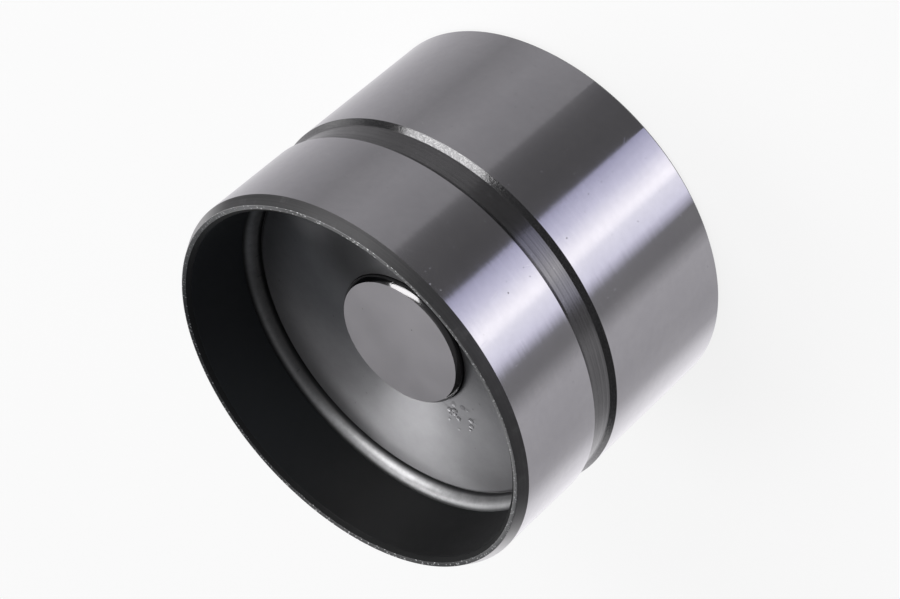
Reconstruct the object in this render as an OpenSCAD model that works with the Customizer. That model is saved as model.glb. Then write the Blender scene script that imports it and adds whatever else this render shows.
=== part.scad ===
// Hydraulic bucket lifter, standing on its cam face with the open mouth up.
// The origin is the centre of the cam face, and the axis of the bucket is Z.

/* [Bucket] */
// Outside diameter of the skirt
bucket_d = 35; // [32:0.5:40]
// Height from the cam face to the mouth
bucket_h = 26; // [24:0.5:32]
// Thickness of the skirt at the mouth
skirt_wall = 1.2; // [1:0.05:1.6]
// Thickness of the crown under the cam
crown_t = 3; // [2.4:0.1:3.6]
// Fillet inside, between the crown and the skirt
crown_fillet = 1.2; // [0.5:0.1:2]
// Chamfer round the cam face
crown_chamfer = 0.35; // [0.1:0.05:0.6]
// Width of the lead-in chamfer outside the mouth
mouth_chamfer_w = 0.47; // [0.2:0.01:0.6]
// Height of the lead-in chamfer outside the mouth
mouth_chamfer_h = 0.86; // [0.3:0.01:1.5]
// Chamfer inside the mouth
bore_chamfer = 0.35; // [0.1:0.05:0.5]
// Step in the bore that the funnel seats on
bore_step = 0.3; // [0.2:0.05:0.6]

/* [Oil groove] */
// Distance from the mouth to the groove
groove_from_mouth = 9.15; // [9:0.05:12]
// Width of the groove at the skirt's surface
groove_w = 2.9; // [2.2:0.05:4]
// Depth of the groove
groove_depth = 0.35; // [0.2:0.05:0.6]
// Run of each slanted groove wall along the axis
groove_slope = 0.5; // [0.1:0.05:0.8]
// Diameter of the oil feed hole in the groove
feed_hole_d = 1.6; // [0.8:0.1:1.8]
// Direction of the feed hole round the axis
feed_hole_angle = 120; // [0:5:355]

/* [Guide funnel] */
// Depth of the web under the mouth, at the guide tube
web_depth = 7.4; // [6.8:0.05:7.6]
// Fall of the web from the guide tube to its rim
web_fall = 0.35; // [0:0.05:0.5]
// Sheet thickness of the web
web_t = 0.9; // [0.6:0.05:1.1]
// Thickness of the rolled bead that lies against the bore, at its foot
bead_t = 0.8; // [0.6:0.05:1.1]
// Height of the bead over the rim of the web
bead_h = 1.25; // [1:0.05:1.6]
// Radius of the bead's rounded face
bead_round = 1.5; // [1.2:0.05:2]
// Width of the bend groove between web and bead
bend_groove_w = 0.2; // [0.1:0.05:0.5]
// Depth of the bend groove
bend_groove_depth = 0.25; // [0.1:0.05:0.4]
// Wall of the guide tube
tube_wall = 0.9; // [0.6:0.05:1.5]
// Length of the guide tube below the web
tube_l = 8.6; // [6:0.1:9.5]
// Fillet between the web and the tube
tube_fillet = 0.8; // [0.2:0.1:1.5]

/* [Inner housing] */
// Outside diameter of the inner housing
housing_d = 12; // [11.4:0.1:13]
// Bore of the inner housing
housing_bore_d = 9; // [8.6:0.05:9.6]
// Depth of the valve face under the mouth
face_depth = 6.73; // [6:0.01:7]
// Thickness of the closed end
face_t = 2.6; // [2:0.1:3.2]
// Rounding of the valve face's edge
face_round = 0.28; // [0.1:0.01:0.5]
// Chamfer at the open end, inside and outside
housing_chamfer = 0.4; // [0.1:0.05:0.6]
// Travel of the housing towards the crown
lash_travel = 2; // [1:0.1:2.4]

/* [Piston] */
// Diameter of the oil reservoir in the piston
reservoir_d = 6; // [5:0.1:7]
// Thickness of the valve seat end
seat_t = 1.8; // [1.4:0.1:2.4]
// Diameter of the orifice under the ball
orifice_d = 1.9; // [1.2:0.1:2.2]
// Diameter of the conical seat at the piston's end
seat_d = 3.2; // [2.8:0.1:3.6]
// Chamfer of the piston's outer edges
piston_chamfer = 0.25; // [0.1:0.05:0.5]
// Width of the oil slot in the crown under the piston
slot_w = 2.6; // [1.5:0.1:3]
// Depth of the oil slot
slot_depth = 0.6; // [0.3:0.1:1]

/* [Check valve] */
// Diameter of the check ball
ball_d = 3.5; // [3.2:0.1:3.8]
// Lift of the ball off its seat
ball_lift = 0.3; // [0.15:0.05:0.4]
// Sheet thickness of the cage
cage_t = 0.4; // [0.3:0.05:0.5]
// Gap between the ball and the wall of the cage
cage_gap = 0.2; // [0.1:0.05:0.3]
// Diameter of the vent in the cage's top
vent_d = 0.8; // [0.4:0.1:1]
// Number of oil windows round the cage
cage_windows = 4; // [3:1:6]
// Diameter of an oil window
window_d = 1.1; // [0.6:0.1:1.2]
// Number of turns of the check spring
check_turns = 3.5; // [3:0.5:4]
// Mean diameter of the check spring
check_spring_d = 1.6; // [1.4:0.1:1.8]
// Wire of the check spring
check_wire_d = 0.2; // [0.15:0.01:0.24]

/* [Return spring] */
// Wire of the return spring
return_wire_d = 0.7; // [0.5:0.05:0.75]
// Mean diameter of the return spring
return_spring_d = 7.4; // [7:0.1:7.6]
// Number of turns of the return spring
return_turns = 5; // [4:0.5:5]

/* [Fits] */
// Running gap between the inner housing and the guide tube, on the radius
guide_gap = 0.03; // [0.01:0.005:0.08]
// Running gap between the piston and the housing, on the radius
piston_gap = 0.015; // [0.01:0.005:0.04]
// Gap left between pieces that press on each other through oil
oil_gap = 0.01; // [0.005:0.005:0.03]
// Gap left at the end of a travel
stop_gap = 0.2; // [0.1:0.05:0.4]

/* [Hidden] */
$fn = 96;
wire_sides = 8;
steps_per_turn = 24;
overlap = 1;

bucket_r = bucket_d / 2;
bore_r = bucket_r - skirt_wall;
step_r = bore_r - bore_step;
groove_r = bucket_r - groove_depth;
groove_top = bucket_h - groove_from_mouth;
groove_z = groove_top - groove_w;

web_z = bucket_h - web_depth;
rim_z = web_z - web_fall;
seat_z = rim_z - web_t;
bead_r = bore_r - bead_t;
bead_mid_r = bead_r + bead_round;
bead_mid_z = rim_z + bead_h - sqrt(pow(bead_round, 2) - pow(bead_round - bead_t, 2));
web_r = bead_r - bend_groove_w;
housing_r = housing_d / 2;
guide_r = housing_r + guide_gap;
tube_r = guide_r + tube_wall;
tube_z = web_z - web_t - tube_l;

face_z = bucket_h - face_depth;
chamber_z = face_z - face_t;
housing_z = crown_t + lash_travel + 5 * stop_gap;
housing_bore_r = housing_bore_d / 2;
piston_r = housing_bore_r - piston_gap;

// Heights in the check valve, counted from the piston's end. The ball touches
// the right-angled seat where its own surface slopes at 45 degrees.
ball_r = ball_d / 2;
seat_r = seat_d / 2;
orifice_r = orifice_d / 2;
seat_depth = seat_r - orifice_r;
ball_over = ball_r * (cos(45) + sin(45)) - seat_r + oil_gap * sqrt(2);
check_spring_r = check_spring_d / 2;
check_spring_over = ball_over + sqrt(pow(ball_r, 2) - pow(check_spring_r - check_wire_d / 2, 2)) + oil_gap;
check_spring_h = (check_turns + 1) * check_wire_d + ball_lift + stop_gap;
cage_ceiling_over = check_spring_over + check_spring_h + oil_gap;
cage_h = cage_ceiling_over + cage_t;

piston_top = chamber_z - lash_travel - stop_gap - cage_h;
ball_z = piston_top + ball_over;
check_spring_z = piston_top + check_spring_over;
cage_ceiling = piston_top + cage_ceiling_over;
cage_top = piston_top + cage_h;
cage_r = ball_r + cage_gap;
cage_wall_r = cage_r + cage_t;
flange_z = piston_top + cage_t;
return_spring_r = return_spring_d / 2;
flange_r = return_spring_r + return_wire_d / 2;
reservoir_r = reservoir_d / 2;
reservoir_top = piston_top - seat_t;
throat_z = piston_top - (seat_t + seat_depth) / 2;

// Outline of the skirt and crown, outside, with the oil groove and both edge chamfers
module bucket_outline() {
    polygon([
        [0, 0],
        [bucket_r - crown_chamfer, 0],
        [bucket_r, crown_chamfer],
        [bucket_r, groove_z],
        [groove_r, groove_z + groove_slope],
        [groove_r, groove_top - groove_slope],
        [bucket_r, groove_top],
        [bucket_r, bucket_h - mouth_chamfer_h],
        [bucket_r - mouth_chamfer_w, bucket_h],
        [0, bucket_h]
    ]);
}

// Hollow of the bucket: mouth, bore, funnel seat and the filleted floor on the crown
module bucket_hollow() {
    polygon([
        [0, seat_z],
        [bore_r, seat_z],
        [bore_r, bucket_h - bore_chamfer],
        [bore_r + bore_chamfer, bucket_h],
        [bore_r + bore_chamfer, bucket_h + overlap],
        [0, bucket_h + overlap]
    ]);
    translate([0, crown_t + crown_fillet])
        square([step_r, seat_z - crown_t - crown_fillet + bore_step]);
    translate([0, crown_t])
        square([step_r - crown_fillet, seat_z - crown_t]);
    translate([step_r - crown_fillet, crown_t + crown_fillet])
        circle(r = crown_fillet);
}

module feed_hole() {
    rotate([0, 0, feed_hole_angle])
        translate([step_r - overlap, 0, groove_z + groove_w / 2])
            rotate([0, 90, 0])
                cylinder(d = feed_hole_d, h = bucket_r - step_r + 2 * overlap);
}

// Slot in the crown that lets oil pass under the piston's rim
module oil_slot() {
    slot_in = reservoir_r - slot_w / 2;
    slot_out = piston_r + slot_w;
    translate([0, 0, crown_t - slot_depth]) {
        translate([slot_in, -slot_w / 2, 0])
            cube([slot_out - slot_in, slot_w, slot_depth + overlap]);
        for (x = [slot_in, slot_out])
            translate([x, 0, 0])
                cylinder(d = slot_w, h = slot_depth + overlap);
    }
}

module bucket_shell() {
    color("#8b8a90")
    difference() {
        rotate_extrude()
            difference() {
                bucket_outline();
                bucket_hollow();
            }
        feed_hole();
        oil_slot();
    }
}

// Section of the bead: one wide arc, from the bore's wall down to the bend groove
module bead_section() {
    intersection() {
        translate([bead_mid_r, bead_mid_z])
            circle(r = bead_round);
        translate([bead_r, seat_z])
            square([bead_t, web_t + bead_h + overlap]);
    }
    translate([bead_r, seat_z])
        square([bead_t, bead_mid_z - seat_z]);
}

// Section of the sheet funnel: guide tube, web, bend groove and bead
module funnel_section() {
    bead_section();
    polygon([
        [guide_r, tube_z],
        [tube_r, tube_z],
        [tube_r, web_z - web_t],
        [web_r, seat_z],
        [bore_r, seat_z],
        [bore_r, rim_z - bend_groove_depth],
        [web_r, rim_z - bend_groove_depth],
        [web_r, rim_z],
        [guide_r, web_z]
    ]);
    difference() {
        translate([tube_r - overlap / 4, web_z - web_t - tube_fillet])
            square([tube_fillet + overlap / 4, tube_fillet]);
        translate([tube_r + tube_fillet, web_z - web_t - tube_fillet])
            circle(r = tube_fillet);
    }
}

module guide_funnel() {
    color("#77787c")
    rotate_extrude()
        funnel_section();
}

// Half section of the inner housing: a cup, closed by the valve face
module housing_section() {
    difference() {
        union() {
            polygon([
                [0, housing_z],
                [housing_r - housing_chamfer, housing_z],
                [housing_r, housing_z + housing_chamfer],
                [housing_r, face_z - face_round],
                [0, face_z - face_round]
            ]);
            translate([0, face_z - 2 * face_round])
                square([housing_r - face_round, 2 * face_round]);
            translate([housing_r - face_round, face_z - face_round])
                circle(r = face_round);
        }
        polygon([
            [0, housing_z - overlap],
            [housing_bore_r + housing_chamfer, housing_z - overlap],
            [housing_bore_r + housing_chamfer, housing_z],
            [housing_bore_r, housing_z + housing_chamfer],
            [housing_bore_r, chamber_z],
            [0, chamber_z]
        ]);
    }
}

module inner_housing() {
    color("#8f8e90")
    rotate_extrude()
        housing_section();
}

// The piston stands on the crown. Its hollow is the oil reservoir, which ends
// in the orifice and the conical seat of the ball.
module piston() {
    color("#9a9a9d")
    rotate_extrude()
        polygon([
            [reservoir_r, crown_t],
            [piston_r - piston_chamfer, crown_t],
            [piston_r, crown_t + piston_chamfer],
            [piston_r, piston_top - piston_chamfer],
            [piston_r - piston_chamfer, piston_top],
            [seat_r, piston_top],
            [orifice_r, piston_top - seat_depth],
            [orifice_r, throat_z],
            [reservoir_r, reservoir_top]
        ]);
}

module check_ball() {
    color("#b4b4b8")
    translate([0, 0, ball_z])
        sphere(d = ball_d);
}

// Pierced cap over the ball, with a flange that the return spring stands on
module ball_cage() {
    window_z = (flange_z + cage_ceiling) / 2;
    color("#85817a")
    difference() {
        rotate_extrude()
            polygon([
                [cage_r, piston_top],
                [flange_r, piston_top],
                [flange_r, flange_z],
                [cage_wall_r, flange_z],
                [cage_wall_r, cage_top],
                [vent_d / 2, cage_top],
                [vent_d / 2, cage_ceiling],
                [cage_r, cage_ceiling]
            ]);
        for (i = [0 : cage_windows - 1])
            rotate([0, 90, 360 / cage_windows * i])
                translate([-window_z, 0, 0])
                    cylinder(d = window_d, h = cage_wall_r + overlap);
    }
}

// Height of the wire's centre after a number of turns: the end turns are closed, the others share the rest
function coil_z(turn, turns, closed, rise) =
    turn < 1 ? closed * turn
    : turn > turns - 1 ? rise - closed * (turns - turn)
    : closed + (rise - 2 * closed) * (turn - 1) / (turns - 2);

// Compression spring standing on z0, with closed ends ground flat
module coil_spring(mean_r, wire_d, turns, z0, h) {
    wire_r = wire_d / 2;
    ground = 0.4 * wire_r;
    rings = ceil(turns * steps_per_turn);
    closed = 1.04 * wire_d;
    points = [
        for (i = [0 : rings], k = [0 : wire_sides - 1])
            let (
                turn = turns * i / rings,
                side = 360 * k / wire_sides,
                r = mean_r + wire_r * cos(side),
                z = ground + coil_z(turn, turns, closed, h - 2 * ground) + wire_r * sin(side)
            )
            [r * cos(360 * turn), r * sin(360 * turn), z0 + max(0, min(h, z))]
    ];
    sides = [
        for (i = [0 : rings - 1], k = [0 : wire_sides - 1])
            let (a = i * wire_sides + k, b = i * wire_sides + (k + 1) % wire_sides)
            each [[a, b, b + wire_sides], [a, b + wire_sides, a + wire_sides]]
    ];
    quarter = wire_sides / 4;
    first = [for (k = [0 : wire_sides - 1]) (quarter - k + wire_sides) % wire_sides];
    last = [for (k = [0 : wire_sides - 1]) rings * wire_sides + (k + 3 * quarter) % wire_sides];
    polyhedron(points, concat(sides, [first, last]), convexity = 10);
}

module check_ball_spring() {
    color("#a3a5a8")
    coil_spring(check_spring_r, check_wire_d, check_turns, check_spring_z, check_spring_h);
}

module return_spring() {
    color("#6f7276")
    coil_spring(return_spring_r, return_wire_d, return_turns, flange_z + oil_gap, chamber_z - flange_z - 2 * oil_gap);
}

bucket_shell();
guide_funnel();
inner_housing();
piston();
check_ball();
check_ball_spring();
ball_cage();
return_spring();
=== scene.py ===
"""Looks of a hydraulic bucket lifter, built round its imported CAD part.

Lengths are in millimetres and are turned into metres where a mesh is made.
The lifter stands on its cam face, with the open mouth up and its axis on Z.
"""
import math

import bmesh
import bpy
from mathutils import Matrix, Vector


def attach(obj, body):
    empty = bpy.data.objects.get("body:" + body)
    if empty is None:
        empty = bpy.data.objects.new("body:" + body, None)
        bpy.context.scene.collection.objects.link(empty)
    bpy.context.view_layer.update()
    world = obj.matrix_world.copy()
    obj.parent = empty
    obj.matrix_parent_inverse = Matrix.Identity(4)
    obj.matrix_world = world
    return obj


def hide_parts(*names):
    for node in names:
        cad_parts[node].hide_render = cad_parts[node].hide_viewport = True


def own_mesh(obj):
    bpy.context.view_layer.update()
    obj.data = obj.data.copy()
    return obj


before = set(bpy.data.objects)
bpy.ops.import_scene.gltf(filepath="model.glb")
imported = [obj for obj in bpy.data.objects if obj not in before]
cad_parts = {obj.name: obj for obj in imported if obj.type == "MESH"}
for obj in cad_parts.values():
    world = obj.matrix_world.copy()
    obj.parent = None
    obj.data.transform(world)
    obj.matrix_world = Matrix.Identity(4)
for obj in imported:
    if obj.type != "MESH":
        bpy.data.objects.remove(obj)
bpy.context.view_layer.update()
scene = bpy.context.scene
MM = 0.001

# Sizes of the bucket
BUCKET_R = 17.5
BUCKET_H = 26.0
SKIRT_WALL = 1.2
BORE_STEP = 0.3
CROWN_T = 3.0
CROWN_FILLET = 1.2
CROWN_CHAMFER = 0.35
MOUTH_CHAMFER_W = 0.47
MOUTH_CHAMFER_H = 0.86
MOUTH_LEAN = 0.05
BORE_CHAMFER = 0.35
BORE_R = BUCKET_R - SKIRT_WALL
STEP_R = BORE_R - BORE_STEP

# Sizes of the oil groove, its feed hole and the oil slot under the piston
GROOVE_FROM_MOUTH = 9.15
GROOVE_W = 2.9
GROOVE_DEPTH = 0.35
GROOVE_SLOPE = 0.5
FEED_HOLE_R = 0.8
FEED_HOLE_ANGLE = 120
SLOT_W = 2.6
SLOT_DEPTH = 0.6
GROOVE_R = BUCKET_R - GROOVE_DEPTH
GROOVE_TOP = BUCKET_H - GROOVE_FROM_MOUTH
GROOVE_Z = GROOVE_TOP - GROOVE_W

# Sizes of the inner housing. Its valve face has a faintly crowned chamfer
HOUSING_R = 6.0
HOUSING_BORE_R = 4.5
HOUSING_CHAMFER = 0.4
FACE_DEPTH = 6.73
FACE_T = 2.6
FACE_EDGE_W = 0.29
FACE_EDGE_TOP = math.radians(43)
FACE_EDGE_FOOT = math.radians(55)
LASH_TRAVEL = 2.0
STOP_GAP = 0.2
RECESS_DEPTH = 0.4
FACE_EDGE_ROUND = FACE_EDGE_W / (math.sin(FACE_EDGE_FOOT) - math.sin(FACE_EDGE_TOP))
FACE_Z = BUCKET_H - FACE_DEPTH
CHAMBER_Z = FACE_Z - FACE_T
HOUSING_Z = CROWN_T + LASH_TRAVEL + 5 * STOP_GAP

# Sizes of the guide funnel
WEB_DEPTH = 7.4
WEB_FALL = 0.35
WEB_T = 0.9
BEAD_T = 0.8
BEAD_H = 1.25
BEAD_ROUND = 1.5
BEND_GROOVE_W = 0.2
BEND_GROOVE_DEPTH = 0.25
GUIDE_GAP = 0.03
TUBE_WALL = 0.9
TUBE_L = 8.6
TUBE_FILLET = 0.8
WEB_Z = BUCKET_H - WEB_DEPTH
WEB_RIM_Z = WEB_Z - WEB_FALL
SEAT_Z = WEB_RIM_Z - WEB_T
BEAD_R = BORE_R - BEAD_T
WEB_R = BEAD_R - BEND_GROOVE_W
BEAD_MID_R = BEAD_R + BEAD_ROUND
BEAD_START = math.asin((BEAD_MID_R - BORE_R) / BEAD_ROUND)
BEAD_MID_Z = WEB_RIM_Z + BEAD_H - BEAD_ROUND * math.cos(BEAD_START)
GUIDE_R = HOUSING_R + GUIDE_GAP
TUBE_R = GUIDE_R + TUBE_WALL
TUBE_Z = WEB_Z - WEB_T - TUBE_L

# Sizes of the piston, the check valve and the springs
PISTON_GAP = 0.015
PISTON_TOP = 10.1571
PISTON_CHAMFER = 0.25
RESERVOIR_R = 3.0
ORIFICE_R = 0.95
SEAT_R = 1.6
SEAT_T = 1.8
BALL_R = 1.75
BALL_Z = 11.0461
CAGE_T = 0.4
CAGE_GAP = 0.2
CAGE_CEILING = 14.07
CAGE_WINDOWS = 4
VENT_R = 0.4
WINDOW_R = 0.55
OIL_GAP = 0.01
CHECK_SPRING_R = 0.8
CHECK_WIRE_D = 0.2
CHECK_TURNS = 3.5
CHECK_SPRING_Z = 12.66
CHECK_SPRING_H = 1.4
RETURN_SPRING_R = 3.7
RETURN_WIRE_D = 0.7
RETURN_TURNS = 5
PISTON_R = HOUSING_BORE_R - PISTON_GAP
SEAT_DEPTH = SEAT_R - ORIFICE_R
THROAT_Z = PISTON_TOP - (SEAT_T + SEAT_DEPTH) / 2
CAGE_R = BALL_R + CAGE_GAP
CAGE_WALL_R = CAGE_R + CAGE_T
CAGE_TOP = CAGE_CEILING + CAGE_T
FLANGE_Z = PISTON_TOP + CAGE_T
FLANGE_R = RETURN_SPRING_R + RETURN_WIRE_D / 2
RETURN_SPRING_Z = FLANGE_Z + OIL_GAP
RETURN_SPRING_H = CHAMBER_Z - FLANGE_Z - 2 * OIL_GAP

# Small roundings of edges
FOOT_ROUND = 0.06
GROOVE_EDGE_ROUND = 0.05
GROOVE_FLOOR_ROUND = 0.09
CHAMFER_ROUND = 0.08
MOUTH_ROUND = 0.05
LIP_ROUND = 0.04
BORE_ROUND = 0.1
STEP_ROUND = 0.03
TUBE_INNER_ROUND = 0.1
TUBE_OUTER_ROUND = 0.15
FUNNEL_SEAT_ROUND = 0.05
BEND_GROOVE_ROUND = 0.05
WEB_RIM_ROUND = 0.15
GUIDE_ROUND = 0.06
CHAMBER_ROUND = 0.05
HOUSING_ROUND = 0.04
PISTON_FOOT_ROUND = 0.05
PISTON_ROUND = 0.03
THROAT_ROUND = 0.05
RESERVOIR_ROUND = 0.1
CAGE_ROUND = 0.1
FLANGE_FOOT_ROUND = 0.08
FLANGE_BEND = 0.12
CAGE_TOP_ROUND = 0.25
VENT_ROUND = 0.04


# Meshes

def rounded(corners, arc_steps=5):
    """Rounds the corners of a closed outline of (r, z, radius, zone). A zone is
    the finish of the side that starts at its corner. Returns points and zones."""
    points, zones = [], []
    count = len(corners)
    for i, (r, z, radius, zone) in enumerate(corners):
        here = Vector((r, z))
        before = Vector(corners[i - 1][:2]) - here
        after = Vector(corners[(i + 1) % count][:2]) - here
        if not radius:
            points.append(here)
            zones.append(zone)
            continue
        half = before.angle(after) / 2
        reach = radius / math.tan(half)
        inward = (before.normalized() + after.normalized()).normalized()
        middle = here + inward * radius / math.sin(half)
        first = here + before.normalized() * reach - middle
        last = here + after.normalized() * reach - middle
        turn = first.angle_signed(last)
        for k in range(arc_steps + 1):
            points.append(middle + Matrix.Rotation(-turn * k / arc_steps, 2) @ first)
            zones.append(corners[i - 1][3] if k < arc_steps // 2 else zone)
    return points, zones


def as_object(name, bm, materials):
    """An object at the origin from a bmesh, with outward normals."""
    bmesh.ops.recalc_face_normals(bm, faces=bm.faces)
    mesh = bpy.data.meshes.new(name)
    bm.to_mesh(mesh)
    bm.free()
    for material in materials:
        mesh.materials.append(material)
    obj = bpy.data.objects.new(name, mesh)
    scene.collection.objects.link(obj)
    return obj


def turned(name, corners, materials, around=256, arc_steps=5):
    """A solid of revolution round Z from a closed outline of (r, z, radius, zone)."""
    points, zones = rounded(corners, arc_steps)
    bm = bmesh.new()
    rings = []
    for r, z in points:
        if r < 1e-6:
            rings.append([bm.verts.new((0, 0, z * MM))] * around)
            continue
        rings.append([
            bm.verts.new((r * math.cos(a) * MM, r * math.sin(a) * MM, z * MM))
            for a in (math.tau * k / around for k in range(around))
        ])
    for i, zone in enumerate(zones):
        one, two = rings[i], rings[(i + 1) % len(rings)]
        for k in range(around):
            n = (k + 1) % around
            loop = list(dict.fromkeys((one[k], one[n], two[n], two[k])))
            if len(loop) > 2:
                bm.faces.new(loop).material_index = zone
    return as_object(name, bm, materials)


def hole_cutter(radius, length, angle, reach, height, around=48):
    """A closed cylinder to cut a hole with. It points away from the axis at an angle in
    degrees, and its middle lies at a reach from the axis."""
    bm = bmesh.new()
    bmesh.ops.create_cone(bm, cap_ends=True, segments=around, radius1=radius, radius2=radius, depth=length)
    place = (
        Matrix.Rotation(math.radians(angle), 4, "Z")
        @ Matrix.Translation((reach, 0, height))
        @ Matrix.Rotation(math.radians(90), 4, "Y")
    )
    bmesh.ops.transform(bm, matrix=Matrix.Scale(MM, 4) @ place, verts=bm.verts)
    return as_object("cutter", bm, [])


def slot_cutter(arc_steps=16, over=1):
    """A round-ended bar, to cut the oil slot in the crown with."""
    inner = RESERVOIR_R - SLOT_W / 2
    outer = PISTON_R + SLOT_W
    bm = bmesh.new()
    outline = [
        (centre + SLOT_W / 2 * math.cos(a), SLOT_W / 2 * math.sin(a))
        for centre, start in ((outer, -90), (inner, 90))
        for a in (math.radians(start + 180 * k / arc_steps) for k in range(arc_steps + 1))
    ]
    low = [bm.verts.new((x * MM, y * MM, (CROWN_T - SLOT_DEPTH) * MM)) for x, y in outline]
    high = [bm.verts.new((x * MM, y * MM, (CROWN_T + over) * MM)) for x, y in outline]
    bm.faces.new(low)
    bm.faces.new(high)
    for k in range(len(outline)):
        n = (k + 1) % len(outline)
        bm.faces.new((low[k], low[n], high[n], high[k]))
    return as_object("cutter", bm, [])


def cut(obj, cutters, zone=0):
    """Cuts holes into obj; their walls take the finish of a zone."""
    for tool in cutters:
        for material in obj.data.materials:
            tool.data.materials.append(material)
        for face in tool.data.polygons:
            face.material_index = zone
        change = obj.modifiers.new("hole", "BOOLEAN")
        change.operation = "DIFFERENCE"
        change.solver = "EXACT"
        change.object = tool
    bpy.context.view_layer.update()
    mesh = bpy.data.meshes.new_from_object(obj.evaluated_get(bpy.context.evaluated_depsgraph_get()))
    obj.modifiers.clear()
    obj.data = mesh
    for tool in cutters:
        bpy.data.objects.remove(tool)


def smooth(obj, angle=35):
    """Smooth shading that follows the large faces and breaks at sharp edges."""
    for face in obj.data.polygons:
        face.use_smooth = True
    obj.data.set_sharp_from_angle(angle=math.radians(angle))
    normals = obj.modifiers.new("face normals", "WEIGHTED_NORMAL")
    normals.mode = "FACE_AREA"
    normals.weight = 100
    normals.keep_sharp = True


GROUND_SHARE = 0.4
CLOSED_PITCH = 1.04


def coil(name, material, mean_r, wire_d, turns, z0, height, sides=20, steps=64):
    """A compression spring on z0. Its end turns are closed, and ground flat by a share of the wire."""
    wire_r = wire_d / 2
    ground = GROUND_SHARE * wire_r
    closed = CLOSED_PITCH * wire_d
    rise = height - 2 * ground
    bm = bmesh.new()
    rings = []
    count = math.ceil(turns * steps)
    for i in range(count + 1):
        turn = turns * i / count
        if turn < 1:
            climb = closed * turn
        elif turn > turns - 1:
            climb = rise - closed * (turns - turn)
        else:
            climb = closed + (rise - 2 * closed) * (turn - 1) / (turns - 2)
        ring = []
        for k in range(sides):
            side = math.tau * k / sides
            r = mean_r + wire_r * math.cos(side)
            z = z0 + max(0, min(height, ground + climb + wire_r * math.sin(side)))
            a = math.tau * turn
            ring.append(bm.verts.new((r * math.cos(a) * MM, r * math.sin(a) * MM, z * MM)))
        rings.append(ring)
    for one, two in zip(rings, rings[1:]):
        for k in range(sides):
            n = (k + 1) % sides
            bm.faces.new((one[k], one[n], two[n], two[k]))
    bm.faces.new(rings[0])
    bm.faces.new(rings[-1])
    return as_object(name, bm, [material])


# Short ways to make shader nodes

def group(name, inputs, outputs):
    """A shader node group with named inputs (kind, name, value) and outputs (kind, name)."""
    tree = bpy.data.node_groups.new(name, "ShaderNodeTree")
    for kind, label, value in inputs:
        socket = tree.interface.new_socket(label, in_out="INPUT", socket_type="NodeSocket" + kind)
        if value is not None:
            socket.default_value = value
    for kind, label in outputs:
        tree.interface.new_socket(label, in_out="OUTPUT", socket_type="NodeSocket" + kind)
    return tree, tree.nodes.new("NodeGroupInput").outputs, tree.nodes.new("NodeGroupOutput").inputs


def put(tree, target, value):
    """Links a socket to a target, or sets the target's own value."""
    if isinstance(value, bpy.types.NodeSocket):
        tree.links.new(value, target)
    else:
        target.default_value = value


def node(tree, kind, inputs=None, **settings):
    """A shader node with settings and inputs, by name or number."""
    made = tree.nodes.new("ShaderNode" + kind)
    for key, value in settings.items():
        setattr(made, key, value)
    for key, value in (inputs or {}).items():
        put(tree, made.inputs[key], value)
    return made


def maths(tree, operation, one, two=None, three=None):
    """One Math node's value."""
    made = node(tree, "Math", operation=operation)
    for socket, value in zip(made.inputs, (one, two, three)):
        if value is not None:
            put(tree, socket, value)
    return made.outputs[0]


def times(tree, one, two):
    """The product of two values."""
    return maths(tree, "MULTIPLY", one, two)


def rest_of(tree, mask):
    """1 where a mask is 0, and 0 where it is 1."""
    return maths(tree, "SUBTRACT", 1.0, mask)


def blend_colour(tree, factor, one, two):
    """One colour Mix node's colour."""
    made = node(tree, "Mix", data_type="RGBA")
    for key, value in (("Factor", factor), ("A", one), ("B", two)):
        put(tree, made.inputs[key], value)
    return made.outputs["Result"]


def span(tree, value, low, high, to_low=0.0, to_high=1.0, smooth_ends=False):
    """A value carried from one range to another, and kept inside it."""
    made = node(tree, "MapRange", {
        "Value": value, "From Min": low, "From Max": high, "To Min": to_low, "To Max": to_high}, clamp=True)
    made.interpolation_type = "SMOOTHSTEP" if smooth_ends else "LINEAR"
    return made.outputs["Result"]


def noise_value(tree, place, detail, roughness=0.5):
    """Noise of one patch to a unit of its place."""
    return node(tree, "TexNoise", {
        "Vector": place, "Scale": 1.0, "Detail": detail, "Roughness": roughness}).outputs[0]


def scattered(tree, place, spacing):
    """Cells that lie scattered over a flat map, and the map in units of their spacing."""
    scaled = node(tree, "VectorMath", {
        0: place, "Scale": maths(tree, "DIVIDE", 1.0, spacing)}, operation="SCALE").outputs[0]
    cells = node(tree, "TexVoronoi", {
        "Vector": scaled, "Scale": 1.0, "Randomness": 1.0}, voronoi_dimensions="2D").outputs
    return scaled, cells


# Shader effects that several finishes share

def make_round_place():
    """Place in millimetres: radius, height, the angle round the axis with its seam
    at the back, and the skirt's surface rolled out flat."""
    tree, _, out = group("place round the axis", [], [
        ("Float", "Radius"), ("Float", "Height"), ("Float", "Angle"),
        ("Vector", "Place"), ("Vector", "Rolled")])
    place = node(tree, "TexCoord").outputs["Object"]
    in_mm = node(tree, "VectorMath", {0: place, "Scale": 1 / MM}, operation="SCALE").outputs[0]
    x, y, z = node(tree, "SeparateXYZ", {0: in_mm}).outputs
    put(tree, out["Radius"], maths(tree, "SQRT", maths(tree, "ADD", times(tree, x, x), times(tree, y, y))))
    put(tree, out["Height"], z)
    angle = maths(tree, "ARCTAN2", x, times(tree, y, -1.0))
    put(tree, out["Angle"], angle)
    put(tree, out["Place"], in_mm)
    rolled = node(tree, "CombineXYZ", {"X": times(tree, angle, BUCKET_R), "Y": z}).outputs[0]
    put(tree, out["Rolled"], rolled)
    return tree


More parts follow.
